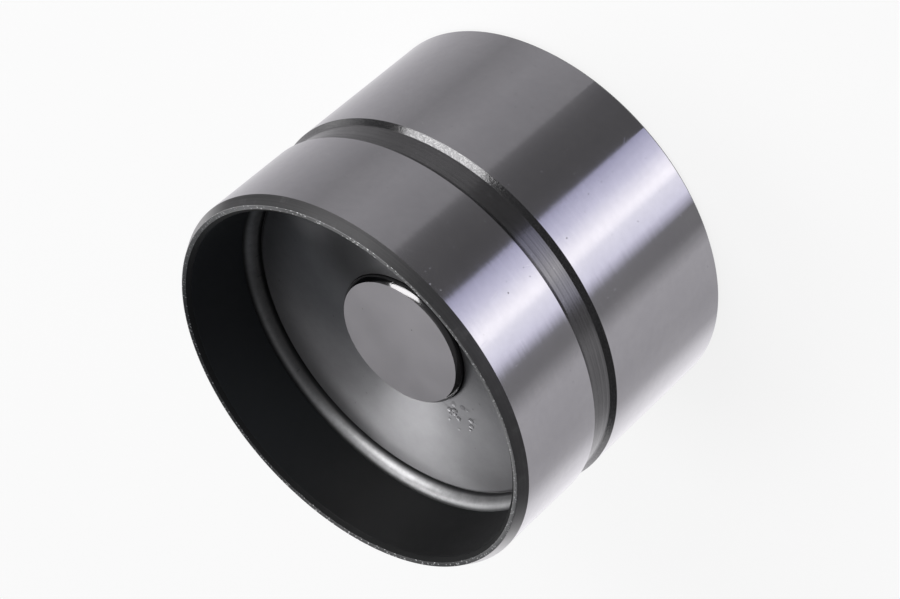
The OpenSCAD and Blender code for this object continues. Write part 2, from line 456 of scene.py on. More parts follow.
def make_lay_lines(along=0.035):
    """Fine machining lines that run round the axis. Across is the coordinate that the
    lines are spread over, in millimetres, and along how fast a line changes on its way."""
    tree, given, out = group("machining lines", [
        ("Vector", "Place", None), ("Float", "Across", 0.0), ("Float", "Pitch", 0.06)], [("Float", "Height")])
    x, y, _ = node(tree, "SeparateXYZ", {0: given["Place"]}).outputs
    where = node(tree, "CombineXYZ", {
        "X": times(tree, x, along), "Y": times(tree, y, along),
        "Z": maths(tree, "DIVIDE", given["Across"], given["Pitch"])}).outputs[0]
    put(tree, out["Height"], noise_value(tree, where, 3.0, 0.7))
    return tree


def make_pits():
    """Sparse small pits and nicks over a flat map in millimetres: a mask that is 1 in a pit.
    Their outlines are bent a little."""
    tree, given, out = group("pits and nicks", [
        ("Vector", "Map", None), ("Float", "Spacing", 2.5), ("Float", "Size", 0.15), ("Float", "Share", 0.3)],
        [("Float", "Mask")])
    bend = node(tree, "TexNoise", {"Vector": given["Map"], "Scale": 4.0, "Detail": 2.0}).outputs["Color"]
    bent = node(tree, "VectorMath", {
        0: bend, 1: (0.22, 0.22, 0.0), 2: given["Map"]}, operation="MULTIPLY_ADD").outputs[0]
    _, cells = scattered(tree, bent, given["Spacing"])
    pick, grow, _ = node(tree, "SeparateColor", {0: cells["Color"]}).outputs
    chosen = maths(tree, "LESS_THAN", pick, given["Share"])
    size = times(tree, given["Size"], span(tree, grow, 0.0, 1.0, 0.35, 1.0))
    away = times(tree, cells["Distance"], given["Spacing"])
    inside = span(tree, away, times(tree, size, 0.4), size, 1.0, 0.0, smooth_ends=True)
    put(tree, out["Mask"], times(tree, inside, chosen))
    return tree


def make_scratches():
    """Short fine scratches in all directions over a flat map in millimetres: a mask that is
    1 in a scratch. A scratch's width and length are shares of the spacing."""
    tree, given, out = group("scratches", [
        ("Vector", "Map", None), ("Float", "Spacing", 3.0), ("Float", "Share", 0.3)], [("Float", "Mask")])
    scaled, cells = scattered(tree, given["Map"], given["Spacing"])
    pick, aim, _ = node(tree, "SeparateColor", {0: cells["Color"]}).outputs
    offset = node(tree, "VectorMath", {0: scaled, 1: cells["Position"]}, operation="SUBTRACT").outputs[0]
    aimed = node(tree, "VectorRotate", {
        "Vector": offset, "Angle": times(tree, aim, math.tau)}, rotation_type="Z_AXIS").outputs[0]
    along, over, _ = node(tree, "SeparateXYZ", {0: aimed}).outputs
    line = span(tree, maths(tree, "ABSOLUTE", over), 0.002, 0.011, 1.0, 0.0)
    ends = span(tree, maths(tree, "ABSOLUTE", along), 0.1, 0.3, 1.0, 0.0)
    chosen = maths(tree, "LESS_THAN", pick, given["Share"])
    put(tree, out["Mask"], times(tree, times(tree, line, ends), chosen))
    return tree


def make_patches(name, size, detail, roughness, low, high):
    """Soft patches or grains of a size in millimetres. Noise from low to high becomes 0 to 1."""
    tree, given, out = group(name, [("Vector", "Place", None), ("Float", "Size", size)], [("Float", "Value")])
    noise = node(tree, "TexNoise", {
        "Vector": given["Place"], "Scale": maths(tree, "DIVIDE", 1.0, given["Size"]),
        "Detail": detail, "Roughness": roughness})
    put(tree, out["Value"], span(tree, noise.outputs[0], low, high))
    return tree


PLACE = make_round_place()
LINES = make_lay_lines()
PITS = make_pits()
SCRATCHES = make_scratches()
MOTTLE = make_patches("mottle", 4.0, 4.0, 0.55, 0.3, 0.7)
GRAIN = make_patches("grain", 0.1, 2.0, 0.6, 0.25, 0.75)


# Finishes

PIT_GREY = (0.2, 0.2, 0.205, 1)
SCRATCH_BRIGHT = (0.8, 0.8, 0.81, 1)
FILM_GREY = (0.52, 0.512, 0.535, 1)
BARE_GRAIN = (0.28, 0.277, 0.28, 1)
# Bare steel for worn patches, and also the colour of a painted sheen on one side
BARE_AND_SHEEN_STEEL = (0.4, 0.395, 0.4, 1)
# Painted sheen: bright steel painted where the chamfer and the rim should look lit
SHEEN_STEEL = (0.85, 0.84, 0.845, 1)
GLINT = (0.8, 0.8, 0.8, 1)
SHEET_GRAIN = (0.3, 0.3, 0.306, 1)
DENT_GREY = (0.17, 0.17, 0.175, 1)
SOIL = (0.12, 0.12, 0.123, 1)
# Painted shade: colours of spots painted darker on the web and the bead
WEB_SHADE_GREY = (0.05, 0.0505, 0.0515, 1)
BEAD_SHADE_GREY = (0.1, 0.1, 0.102, 1)
# Painted shade where the bead meets the bore wall
WALL_SHADE_GREY = (0.03, 0.031, 0.033, 1)
# Painted shade in the bend between the web and the bead
BEND_SHADE_GREY = (0.09, 0.09, 0.094, 1)

# Places of marks: a spot, the distances from it where a mark starts to fade and is gone, and a share
DENTS = ((-7.65, 1.75, 18.5), 0.6, 2.0, 1.0)
HAZE = ((12.4, -1.0, 18.4), 0.5, 3.6, 1.0)
# Painted shade: spots painted darker on the web beside the valve face and on the +X side of the bead
WEB_SHADE_SPOTS = [((7.2, -2.0, 18.5), 1.0, 6.0, 0.78)]
BEAD_SHADE_SPOTS = [((7.5, 13.9, 18.5), 4.5, 10.0, 0.6)]
# Painted sheen: spots on the chamfer and the rim that are painted brighter, and made smoother on the chamfer
CHAMFER_SHEEN_SPOTS = [((-17.3, 0.8, 25.5), 0.5, 10.5, 0.74), ((17.3, 1.0, 25.5), 0.5, 6.0, 0.4)]
RIM_SHEEN_SPOTS = [
    ((-15.5, -8.0, 26.0), 5.0, 14.0, 0.3),
    ((16.8, -1.0, 26.0), 5.0, 12.0, 0.32),
    ((0.0, -16.8, 26.0), 6.0, 16.0, 0.07),
]


class Finish:
    """A metal with a Principled shader, and short ways to shared effects."""

    def __init__(self, name):
        self.material = bpy.data.materials.new(name)
        self.material.use_nodes = True
        self.tree = self.material.node_tree
        self.shader = self.tree.nodes["Principled BSDF"]
        self.place = self.use(PLACE)

    def use(self, shared, **inputs):
        """A shared effect's outputs."""
        made = self.tree.nodes.new("ShaderNodeGroup")
        made.node_tree = shared
        for key, value in inputs.items():
            put(self.tree, made.inputs[key], value)
        return made.outputs

    def effect(self, shared, **inputs):
        """A shared effect's value at each place."""
        return self.use(shared, Place=self.place["Place"], **inputs)[0]

    def pits(self, flat, spacing, size, share):
        """A mask of pits over one of the flat maps."""
        return self.use(PITS, Map=self.place[flat], Spacing=spacing, Size=size, Share=share)[0]

    def set(self, **inputs):
        """Sets inputs of the shader."""
        for key, value in inputs.items():
            put(self.tree, self.shader.inputs[key.replace("_", " ")], value)

    def bump(self, height, depth, under=None):
        """Bump of a depth in millimetres over the normal under it."""
        made = node(self.tree, "Bump", {"Height": height, "Distance": depth * MM, "Strength": 1.0})
        if under is not None:
            put(self.tree, made.inputs["Normal"], under)
        return made.outputs[0]

    def marks(self, *places):
        """How strong a mark with one or more places is."""
        total = 0.0
        for spot, whole, gone, share in places:
            away = node(self.tree, "VectorMath", {0: self.place["Place"], 1: spot}, operation="DISTANCE")
            here = span(self.tree, away.outputs["Value"], whole, gone, 1.0, 0.0, smooth_ends=True)
            total = maths(self.tree, "MULTIPLY_ADD", here, share, total)
        return total

    def to_one_side(self):
        """The distance along X from the axis."""
        return node(self.tree, "SeparateXYZ", {0: self.place["Place"]}).outputs[0]

    def round_the_axis(self, share, rotation=0.25):
        """Stretches highlights as lines that run round the axis do."""
        tangent = node(self.tree, "Tangent", direction_type="RADIAL", axis="Z").outputs[0]
        self.set(Anisotropic=share, Anisotropic_Rotation=rotation, Tangent=tangent)


def wavering_normal(f, flat):
    """The normal, leant a hair to either side as a grinding wheel's waver leaves it."""
    tree = f.tree
    x, y, _ = node(tree, "SeparateXYZ", {0: f.place[flat]}).outputs
    where = node(tree, "CombineXYZ", {"X": times(tree, x, 0.22), "Y": times(tree, y, 6.0)}).outputs[0]
    waver = span(tree, noise_value(tree, where, 3.0, 0.65), 0.25, 0.75, -0.01, 0.01)
    along = node(tree, "Tangent", direction_type="RADIAL", axis="Z").outputs[0]
    aside = node(tree, "VectorMath", {0: along, "Scale": waver}, operation="SCALE").outputs[0]
    normal = node(tree, "NewGeometry").outputs["Normal"]
    leant = node(tree, "VectorMath", {0: normal, 1: aside}, operation="ADD").outputs[0]
    return node(tree, "VectorMath", {0: leant}, operation="NORMALIZE").outputs[0]


def ground_steel(name, across, flat):
    """Centreless-ground or lapped steel: bright, with hair lines, a few pits and scratches
    and a thin oil film."""
    f = Finish(name)
    tree = f.tree
    lines = f.effect(LINES, Across=f.place[across], Pitch=0.05)
    pits = f.pits(flat, 2.6, 0.075, 0.12)
    nicks = f.pits(flat, 0.9, 0.07, 0.1)
    dots = maths(tree, "MAXIMUM", pits, times(tree, nicks, 0.6))
    scratches = f.use(SCRATCHES, Map=f.place[flat], Spacing=2.2, Share=0.2)[0]
    film = f.effect(MOTTLE, Size=5.0)
    fine_film = f.effect(MOTTLE, Size=0.7)
    colour = blend_colour(tree, film, (0.575, 0.566, 0.592, 1), (0.615, 0.606, 0.628, 1))
    colour = blend_colour(tree, times(tree, fine_film, 0.3), colour, FILM_GREY)
    colour = blend_colour(tree, times(tree, scratches, 0.08), colour, SCRATCH_BRIGHT)
    colour = blend_colour(tree, times(tree, dots, 0.5), colour, PIT_GREY)
    rough = maths(tree, "ADD", span(tree, film, 0.0, 1.0, 0.12, 0.16), times(tree, fine_film, 0.03))
    f.set(Base_Color=colour, Metallic=1.0, Roughness=rough)
    relief = rest_of(tree, maths(tree, "MAXIMUM", dots, times(tree, scratches, 0.12)))
    f.set(Normal=f.bump(relief, 0.02, f.bump(lines, 0.0003, wavering_normal(f, flat))))
    f.round_the_axis(0.5)
    return f.material


def turned_dark(name, low, high, rough, depth, grit=0.0, speck=0.0, wear=0.0, side_sheen=0.0, sheen_spots=()):
    """Turned steel that heat treatment darkened and that was left unground. Near-black copies of it also
    stand as painted shade in recesses and creases. Grit is a share of bare grains, speck a share of larger
    bare specks, wear how far patches are rubbed bright, side sheen how far one side is painted lighter
    as a painted sheen, and sheen spots lists the places painted bright as a painted sheen, where the
    finish is also made smoother."""
    f = Finish(name)
    tree = f.tree
    grain = f.effect(GRAIN, Size=0.16)
    film = f.effect(MOTTLE, Size=2.4)
    lines = f.effect(LINES, Across=f.place["Height"], Pitch=0.11)
    specks = f.pits("Rolled", 0.5, 0.11, speck)
    grains = span(tree, f.effect(GRAIN, Size=0.075), 0.45, 0.7, 0.0, grit)
    worn = f.effect(MOTTLE, Size=1.1)
    worn_patches = span(tree, worn, 0.72, 0.95, 0.0, wear)
    # Painted sheen: the side towards -X is painted lighter
    painted_side_sheen = span(tree, f.to_one_side(), 2.0, -6.0, 0.0, side_sheen)
    painted_side_sheen = times(tree, painted_side_sheen, span(tree, worn, 0.0, 1.0, 0.8, 1.2))
    colour = blend_colour(tree, span(tree, lines, 0.35, 0.65), low, high)
    colour = blend_colour(tree, times(tree, film, grain), colour, high)
    colour = blend_colour(tree, painted_side_sheen, colour, BARE_AND_SHEEN_STEEL)
    colour = blend_colour(tree, times(tree, worn_patches, grain), colour, BARE_AND_SHEEN_STEEL)
    colour = blend_colour(tree, maths(tree, "MAXIMUM", specks, grains), colour, BARE_GRAIN)
    rough_here = span(tree, grain, 0.0, 1.0, rough - 0.03, rough + 0.04)
    # Painted sheen: listed spots are painted brighter, and their roughness is lowered
    if sheen_spots:
        bright = f.marks(*sheen_spots)
        colour = blend_colour(tree, bright, colour, SHEEN_STEEL)
        rough_here = times(tree, rough_here, span(tree, bright, 0.0, 1.0, 1.0, 0.5))
    f.set(Base_Color=colour, Metallic=0.95, Roughness=rough_here)
    f.set(Normal=f.bump(grain, depth, f.bump(lines, 0.0012)))
    f.round_the_axis(0.45)
    return f.material


def dark_bore(name, shine, fade):
    """Black oxide: smooth, faintly blue, with soft uneven patches. Fade is how far it is painted lighter
    towards one side, as painted light.
    """
    f = Finish(name)
    tree = f.tree
    film = f.effect(MOTTLE, Size=5.0)
    grain = f.effect(GRAIN, Size=0.2)
    # Painted light: the colour is painted lighter towards +X
    painted_side_light = span(tree, f.to_one_side(), -7.0, 14.0, 0.0, fade)
    colour = blend_colour(tree, film, (0.0055, 0.0057, 0.006, 1), (0.0068, 0.0071, 0.0075, 1))
    colour = blend_colour(tree, painted_side_light, colour, (0.042, 0.0472, 0.0535, 1))
    f.set(Base_Color=colour, Metallic=0.0, Specular_IOR_Level=shine)
    f.set(Roughness=span(tree, film, 0.0, 1.0, 0.48, 0.56), Normal=f.bump(grain, 0.0015))
    return f.material


def shade(colour, level=1.0):
    """A colour at a share of its level, with its alpha."""
    return tuple(c * level for c in colour) + (1,)


def turned_steel(name, colour, rough, pitch, depth, stretch=0.0, speck=0.0, sheen_spots=()):
    """A face that was turned or ground and left satin, with rings round the axis. Speck is a share
    of bare specks, and sheen spots lists the places painted brighter as a painted sheen."""
    f = Finish(name)
    tree = f.tree
    rings = f.effect(LINES, Across=f.place["Radius"], Pitch=pitch)
    film = f.effect(MOTTLE, Size=4.0)
    pits = f.pits("Place", 1.9, 0.11, 0.14)
    specks = f.pits("Place", 0.28, 0.12, speck)
    base = blend_colour(tree, film, shade(colour, 0.94), shade(colour))
    base = blend_colour(tree, pits, base, shade(colour, 0.45))
    # Painted sheen: listed spots are painted brighter
    if sheen_spots:
        base = blend_colour(tree, f.marks(*sheen_spots), base, SHEEN_STEEL)
    base = blend_colour(tree, specks, base, GLINT)
    f.set(Base_Color=base, Metallic=1.0, Roughness=span(tree, film, 0.0, 1.0, rough - 0.02, rough + 0.02))
    f.set(Normal=f.bump(rest_of(tree, pits), 0.006, f.bump(rings, depth)))
    f.round_the_axis(stretch)
    return f.material


def bend_shade(f):
    """A mask of painted shade in the bend between the web and the bead."""
    tree = f.tree
    section = node(tree, "CombineXYZ", {"X": f.place["Radius"], "Y": f.place["Height"]}).outputs[0]
    corner = (BEAD_R - 0.05, WEB_RIM_Z, 0)
    away = node(tree, "VectorMath", {0: section, 1: corner}, operation="DISTANCE").outputs["Value"]
    return span(tree, away, 0.1, 0.4, 0.75, 0.0, smooth_ends=True)


def fanned_highlight(f, stretch):
    """Stretches highlights round the axis, and leans them near the guide tube."""
    tree = f.tree
    place = node(tree, "TexCoord").outputs["Object"]
    flat = node(tree, "VectorMath", {0: place, 1: (1, 1, 0)}, operation="MULTIPLY").outputs[0]
    reach = node(tree, "VectorMath", {0: flat}, operation="LENGTH").outputs["Value"]
    f.round_the_axis(stretch, span(tree, reach, 7 * MM, 12 * MM, 0.205, 0.25))


def drawn_sheet(name, low, high, rough, shade_spots, oil, soil, dish, dull=0.0, stretch=0.0):
    """Deep-drawn sheet: satin, faintly streaked by the drawing tool, with a patch of small dents
    beside the valve face. It is painted darker as painted shade towards the bore wall and in the bend
    by the bead. Shade spots lists places painted darker as painted shade, in the colour given after it.
    Soil is how dark the fine patches are, dish leans the shading towards the axis or, below 0,
    away from it, dull is a matt film, and stretch is how far highlights are drawn out."""
    f = Finish(name)
    tree = f.tree
    grain = f.effect(GRAIN, Size=0.16)
    film = f.effect(MOTTLE, Size=2.2)
    patches = f.effect(MOTTLE, Size=0.6)
    pits = f.pits("Place", 1.3, 0.14, 0.07)
    dents = times(tree, f.pits("Place", 0.6, 0.42, 0.6), f.marks(DENTS))
    # Painted shade: the bead is painted darker towards the bore wall
    wall_shade = span(tree, f.place["Radius"], 15.85, 16.28, 0.0, 0.85, smooth_ends=True)
    colour = blend_colour(tree, film, low, high)
    colour = blend_colour(tree, times(tree, grain, 0.2), colour, SHEET_GRAIN)
    colour = blend_colour(tree, times(tree, pits, 0.5), colour, PIT_GREY)
    colour = blend_colour(tree, times(tree, dents, 0.18), colour, DENT_GREY)
    colour = blend_colour(tree, times(tree, patches, soil), colour, SOIL)
    # Painted shade: the listed spots are painted darker in their colour
    colour = blend_colour(tree, f.marks(*shade_spots), colour, oil)
    colour = blend_colour(tree, wall_shade, colour, WALL_SHADE_GREY)
    # Painted shade in the bend by the bead
    colour = blend_colour(tree, bend_shade(f), colour, BEND_SHADE_GREY)
    haze = times(tree, f.marks(HAZE), span(tree, patches, 0.0, 1.0, 2.0, 4.5))
    matt = maths(tree, "MULTIPLY_ADD", haze, dull, dull)
    f.set(Base_Color=colour, Metallic=rest_of(tree, matt))
    f.set(Roughness=span(tree, grain, 0.0, 1.0, rough - 0.02, rough + 0.03))
    streaks = noise_value(tree, node(tree, "CombineXYZ", {
        "X": times(tree, f.place["Angle"], 22.0),
        "Y": times(tree, f.place["Radius"], 0.2),
        "Z": times(tree, f.place["Height"], 0.2)}).outputs[0], 3.0)
    lean = times(tree, f.place["Radius"], dish)
    relief = f.bump(lean, 1.0, f.bump(streaks, 0.004, f.bump(grain, 0.0015)))
    relief = f.bump(rest_of(tree, pits), 0.004, relief)
    f.set(Normal=f.bump(rest_of(tree, dents), 0.045, relief))
    fanned_highlight(f, stretch)
    return f.material


def plain_steel(name, colour, rough, grain_size, depth):
    """Hidden inner steel with a fine even grain and a trace of oil."""
    f = Finish(name)
    grain = f.effect(GRAIN, Size=grain_size)
    film = f.effect(MOTTLE, Size=1.5)
    base = blend_colour(f.tree, film, shade(colour, 0.85), shade(colour))
    f.set(Base_Color=base, Metallic=1.0, Roughness=span(f.tree, grain, 0.0, 1.0, rough - 0.04, rough + 0.04))
    f.set(Normal=f.bump(grain, depth))
    return f.material


SKIRT = ground_steel("ground skirt", "Height", "Rolled")
CAM_FACE = ground_steel("lapped cam face", "Radius", "Place")
GROOVE = turned_dark(
    "turned groove", (0.135, 0.134, 0.137, 1), (0.225, 0.223, 0.227, 1), rough=0.19, depth=0.002, speck=0.05)
GROOVE_WALL = turned_dark(
    "gritty groove wall", (0.11, 0.109, 0.112, 1), (0.15, 0.148, 0.152, 1), rough=0.18, depth=0.004, grit=0.9)
CHAMFER = turned_dark(
    "dark chamfer", (0.068, 0.067, 0.069, 1), (0.092, 0.091, 0.093, 1), rough=0.58, depth=0.004,
    wear=0.12, side_sheen=0.2, sheen_spots=CHAMFER_SHEEN_SPOTS)
BORE = dark_bore("dark bore", shine=0.35, fade=1.0)
LIP_BLACK = dark_bore("black lip", shine=0.14, fade=0.07)
RIM = turned_steel(
    "turned mouth rim", (0.155, 0.155, 0.156), rough=0.3, pitch=0.08, depth=0.002,
    stretch=0.75, speck=0.55, sheen_spots=RIM_SHEEN_SPOTS)
WEB = drawn_sheet(
    "drawn web", (0.36, 0.356, 0.37, 1), (0.405, 0.401, 0.415, 1), rough=0.33,
    shade_spots=WEB_SHADE_SPOTS, oil=WEB_SHADE_GREY, soil=0.06, dish=0.234, dull=0.075, stretch=0.72)
# Painted light: the bead is the web's sheet, painted lighter than the web
BEAD_SHEET = drawn_sheet(
    "drawn bead, painted lighter", (0.5, 0.5, 0.508, 1), (0.56, 0.56, 0.568, 1), rough=0.43,
    shade_spots=BEAD_SHADE_SPOTS, oil=BEAD_SHADE_GREY, soil=0.24, dish=-0.3)
# Painted shade: dark steel for the bend groove between the web and the bead
CREASE_SHADE = turned_dark(
    "painted crease shade", (0.1, 0.1, 0.104, 1), (0.14, 0.14, 0.144, 1), rough=0.5, depth=0.004)
# Painted shade: near-black steel for the crown's chamfer and the housing's side by the web, which show shade
RECESS_SHADE = turned_dark(
    "painted recess shade", (0.03, 0.03, 0.031, 1), (0.05, 0.05, 0.051, 1), rough=0.4, depth=0.004)
VALVE_FACE = turned_steel("ground valve face", (0.522, 0.504, 0.527), rough=0.5, pitch=0.09, depth=0.0006)
# Painted shade: the valve face's steel at a darker colour on its edge, so that the edge shows dark but for
# its highlight
FACE_EDGE = turned_steel("ground face edge, painted darker", (0.29, 0.285, 0.29), rough=0.13, pitch=0.09, depth=0.0004)
HOUSING_SIDE = plain_steel("ground housing side", (0.5, 0.495, 0.5), rough=0.22, grain_size=0.1, depth=0.001)
PISTON_STEEL = plain_steel("honed piston", (0.55, 0.55, 0.555), rough=0.18, grain_size=0.08, depth=0.001)
BALL_STEEL = plain_steel("polished ball", (0.66, 0.66, 0.67), rough=0.07, grain_size=0.2, depth=0.0003)
CAGE_SHEET = plain_steel("cage sheet", (0.36, 0.345, 0.32), rough=0.34, grain_size=0.1, depth=0.002)
WIRE = plain_steel("spring wire", (0.26, 0.265, 0.275), rough=0.3, grain_size=0.07, depth=0.002)


# Pieces

def settle(obj, body, slot, *nodes):
    """Smooths a piece and sets it on its body in the place of its CAD nodes."""
    smooth(obj)
    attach(obj, body)
    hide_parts(*nodes)


# The bucket, with its oil groove, feed hole and oil slot
LAND, DARK, INSIDE, MOUTH, CAM, EDGE, FOOT, LIP, WALL = range(9)
bucket = turned("bucket", [
    (0, 0, 0, CAM),
    # The crown's chamfer takes the painted recess shade
    (BUCKET_R - CROWN_CHAMFER, 0, FOOT_ROUND, FOOT),
    (BUCKET_R, CROWN_CHAMFER, FOOT_ROUND, LAND),
    (BUCKET_R, GROOVE_Z, GROOVE_EDGE_ROUND, WALL),
    (GROOVE_R, GROOVE_Z + GROOVE_SLOPE, GROOVE_FLOOR_ROUND, DARK),
    (GROOVE_R, GROOVE_TOP - GROOVE_SLOPE, GROOVE_FLOOR_ROUND, WALL),
    (BUCKET_R, GROOVE_TOP, GROOVE_EDGE_ROUND, LAND),
    (BUCKET_R, BUCKET_H - MOUTH_CHAMFER_H, CHAMFER_ROUND, EDGE),
    (BUCKET_R - MOUTH_CHAMFER_W, BUCKET_H, MOUTH_ROUND, MOUTH),
    (BORE_R + BORE_CHAMFER, BUCKET_H - MOUTH_LEAN, LIP_ROUND, LIP),
    (BORE_R, BUCKET_H - BORE_CHAMFER, BORE_ROUND, INSIDE),
    (BORE_R, SEAT_Z, 0, INSIDE),
    (STEP_R, SEAT_Z, STEP_ROUND, INSIDE),
    (STEP_R, CROWN_T, CROWN_FILLET, INSIDE),
    (0, CROWN_T, 0, INSIDE),
], [SKIRT, GROOVE, BORE, RIM, CAM_FACE, CHAMFER, RECESS_SHADE, LIP_BLACK, GROOVE_WALL], around=320)
FEED_CUT_L = 3
FEED_CUT_REACH = 16.5
feed_hole = hole_cutter(
    FEED_HOLE_R, FEED_CUT_L, FEED_HOLE_ANGLE, FEED_CUT_REACH, (GROOVE_Z + GROOVE_TOP) / 2)
cut(bucket, [feed_hole, slot_cutter()], INSIDE)
settle(bucket, "bucket", "ground_steel", "bucket_shell")

# The guide funnel: tube, web and rolled bead
SHEET, BEAD, GAP = range(3)
BEAD_STEPS = 16
bead = [
    (BEAD_MID_R - BEAD_ROUND * math.sin(a), BEAD_MID_Z + BEAD_ROUND * math.cos(a), 0, BEAD)
    for a in (BEAD_START + (math.pi / 2 - BEAD_START) * k / BEAD_STEPS for k in range(BEAD_STEPS + 1))
]
funnel = turned("funnel", [
    (GUIDE_R, TUBE_Z, TUBE_INNER_ROUND, SHEET),
    (TUBE_R, TUBE_Z, TUBE_OUTER_ROUND, SHEET),
    (TUBE_R, WEB_Z - WEB_T, TUBE_FILLET, SHEET),
    (WEB_R, SEAT_Z, 0, SHEET),
    (BORE_R, SEAT_Z, FUNNEL_SEAT_ROUND, SHEET),
    *bead,
    # The bend groove takes the painted crease shade
    (BEAD_R, WEB_RIM_Z - BEND_GROOVE_DEPTH, BEND_GROOVE_ROUND, GAP),
    (WEB_R, WEB_RIM_Z - BEND_GROOVE_DEPTH, BEND_GROOVE_ROUND, GAP),
    (WEB_R, WEB_RIM_Z, WEB_RIM_ROUND, SHEET),
    (GUIDE_R, WEB_Z, GUIDE_ROUND, SHEET),
], [WEB, BEAD_SHEET, CREASE_SHADE], around=320, arc_steps=8)
settle(funnel, "bucket", "drawn_sheet_steel", "guide_funnel")

# The inner housing, which ends in the valve face
FACE, SIDE, RECESS, ROUND = range(4)
FACE_EDGE_STEPS = 10
edge = [
    (HOUSING_R - FACE_EDGE_ROUND * (math.sin(FACE_EDGE_FOOT) - math.sin(a)),
     FACE_Z - FACE_EDGE_ROUND * (math.cos(FACE_EDGE_TOP) - math.cos(a)),
     0, FACE if k == FACE_EDGE_STEPS else ROUND)
    for k, a in (
        (k, FACE_EDGE_FOOT + (FACE_EDGE_TOP - FACE_EDGE_FOOT) * k / FACE_EDGE_STEPS)
        for k in range(FACE_EDGE_STEPS + 1))
]
housing = turned("housing", [
    (0, FACE_Z, 0, FACE),
    (0, CHAMBER_Z, 0, SIDE),
    (HOUSING_BORE_R, CHAMBER_Z, CHAMBER_ROUND, SIDE),
    (HOUSING_BORE_R, HOUSING_Z + HOUSING_CHAMFER, HOUSING_ROUND, SIDE),
    (HOUSING_BORE_R + HOUSING_CHAMFER, HOUSING_Z, HOUSING_ROUND, SIDE),
    (HOUSING_R - HOUSING_CHAMFER, HOUSING_Z, HOUSING_ROUND, SIDE),
    (HOUSING_R, HOUSING_Z + HOUSING_CHAMFER, HOUSING_ROUND, SIDE),
    # The housing's side next to the web is painted as shade
    (HOUSING_R, WEB_Z - RECESS_DEPTH, 0, RECESS),
    *edge,
], [VALVE_FACE, HOUSING_SIDE, RECESS_SHADE, FACE_EDGE], around=224)
settle(housing, "inner_element", "housing_steel", "inner_housing")

# The piston, with the reservoir, the orifice and the ball's seat
piston = turned("piston", [
    (RESERVOIR_R, CROWN_T, PISTON_FOOT_ROUND, 0),
    (PISTON_R - PISTON_CHAMFER, CROWN_T, PISTON_ROUND, 0),
    (PISTON_R, CROWN_T + PISTON_CHAMFER, PISTON_ROUND, 0),
    (PISTON_R, PISTON_TOP - PISTON_CHAMFER, PISTON_ROUND, 0),
    (PISTON_R - PISTON_CHAMFER, PISTON_TOP, PISTON_ROUND, 0),
    (SEAT_R, PISTON_TOP, PISTON_ROUND, 0),
    (ORIFICE_R, PISTON_TOP - SEAT_DEPTH, PISTON_ROUND, 0),
    (ORIFICE_R, THROAT_Z, THROAT_ROUND, 0),
    (RESERVOIR_R, PISTON_TOP - SEAT_T, RESERVOIR_ROUND, 0),
], [PISTON_STEEL], around=160)
settle(piston, "bucket", "piston_steel", "piston")

# The cage over the ball, with its flange, vent and oil windows
cage = turned("cage", [
    (CAGE_R, PISTON_TOP, CAGE_ROUND, 0),
    (FLANGE_R, PISTON_TOP, FLANGE_FOOT_ROUND, 0),
    (FLANGE_R, FLANGE_Z, CAGE_ROUND, 0),
    (CAGE_WALL_R, FLANGE_Z, FLANGE_BEND, 0),
    (CAGE_WALL_R, CAGE_TOP, CAGE_TOP_ROUND, 0),
    (VENT_R, CAGE_TOP, VENT_ROUND, 0),
    (VENT_R, CAGE_CEILING, VENT_ROUND, 0),
    (CAGE_R, CAGE_CEILING, CAGE_ROUND, 0),
], [CAGE_SHEET], around=128)
WINDOW_CUT_L = 2.6
WINDOW_CUT_REACH = 2.2
cut(cage, [
    hole_cutter(WINDOW_R, WINDOW_CUT_L, 360 / CAGE_WINDOWS * k, WINDOW_CUT_REACH,
                (FLANGE_Z + CAGE_CEILING) / 2, around=32)
    for k in range(CAGE_WINDOWS)
])
settle(cage, "bucket", "cage_sheet", "ball_cage")

# The check ball
ball_mesh = bmesh.new()
bmesh.ops.create_icosphere(
    ball_mesh, subdivisions=5, radius=BALL_R * MM, matrix=Matrix.Translation((0, 0, BALL_Z * MM)))
ball = as_object("ball", ball_mesh, [BALL_STEEL])
settle(ball, "ball", "ball_steel", "check_ball")

# The springs
return_spring = coil(
    "return_coil", WIRE, RETURN_SPRING_R, RETURN_WIRE_D, RETURN_TURNS, RETURN_SPRING_Z, RETURN_SPRING_H)
settle(return_spring, "bucket", "spring_wire", "return_spring")
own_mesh(return_spring)

check_spring = coil(
    "check_coil", WIRE, CHECK_SPRING_R, CHECK_WIRE_D, CHECK_TURNS, CHECK_SPRING_Z, CHECK_SPRING_H, sides=14)
settle(check_spring, "bucket", "spring_wire", "check_ball_spring")
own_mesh(check_spring)


# Camera, at the photograph's angle

# The axis leans away from the line of sight by the tilt, the picture is rolled,
# and the centre of the mouth sits a little off the middle
VIEW_TILT = math.radians(56.09)
VIEW_ROLL = math.radians(-41.24)
MOUTH_RIGHT = -8.23
MOUTH_DOWN = 7.09
MOUTH_AWAY = 244.6
SENSOR_W = 36
LENS = 125.4
CLIP_START = 5
CLIP_END = 20000

roll_way = Vector((math.cos(VIEW_ROLL), math.sin(VIEW_ROLL), 0))
into = math.sin(VIEW_TILT) * roll_way + Vector((0, 0, math.cos(VIEW_TILT)))
toward = math.cos(VIEW_TILT) * roll_way - Vector((0, 0, math.sin(VIEW_TILT)))
to_part = Matrix((-into.cross(toward), -toward, -into))
part_origin = Vector((MOUTH_RIGHT, MOUTH_DOWN, MOUTH_AWAY)) + BUCKET_H * into
eye = to_part @ -part_origin

camera_data = bpy.data.cameras.new("camera")
camera_data.sensor_width = SENSOR_W
camera_data.lens = LENS
camera_data.clip_start = CLIP_START * MM
camera_data.clip_end = CLIP_END * MM
camera = bpy.data.objects.new("camera", camera_data)
scene.collection.objects.link(camera)
turn = to_part @ Matrix(((1, 0, 0), (0, -1, 0), (0, 0, -1)))
camera.matrix_world = Matrix.Translation(eye * MM) @ turn.to_4x4()
scene.camera = camera


